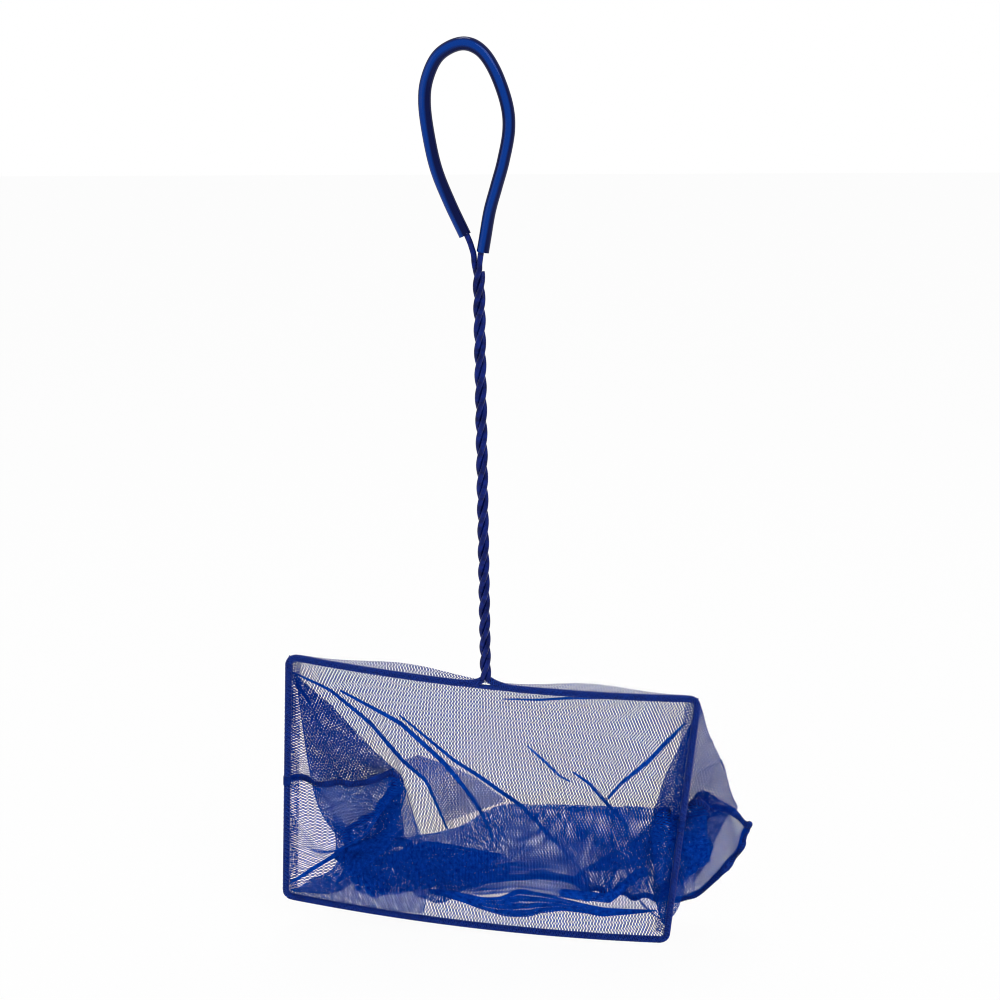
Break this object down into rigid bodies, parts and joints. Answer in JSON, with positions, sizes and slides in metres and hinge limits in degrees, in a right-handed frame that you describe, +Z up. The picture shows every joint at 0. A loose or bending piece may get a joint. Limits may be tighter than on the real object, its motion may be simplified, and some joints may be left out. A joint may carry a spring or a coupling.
{
  "type": "aquarium fish net",
  "caption": "Fish net for aquariums: a rectangular wire hoop on a twisted-wire handle with a sleeved finger loop, and a soft bag of fine blue mesh that lies folded behind the hoop.",
  "frame": {"origin": "inside the top of the finger loop, where a hook or a peg bears", "axes": "+Z up along the handle, +X to the right of someone who looks into the mouth, +Y from the mouth into the bag"},
  "size_m": [0.3016, 0.031, 0.5527],
  "materials": {
    "coated_wire": "gloss",
    "sleeve": "gloss",
    "hem": "matte",
    "net": "matte",
    "seam": "matte"
  },
  "bodies": {
    "root": {"hoop_wire": "coated_wire", "twist_strand_left": "coated_wire", "twist_strand_right": "coated_wire", "loop_arm_left": "coated_wire", "loop_arm_right": "coated_wire", "grip_sleeve": "sleeve", "upper_hem_left": "hem", "upper_hem_right": "hem", "lower_hem": "hem", "upper_panel": "net", "lower_panel": "net", "side_seam_left": "seam", "side_seam_right": "seam", "end_seam": "seam", "seam_tack_left": "seam", "seam_tack_right": "seam"}
  },
  "joints": []
}
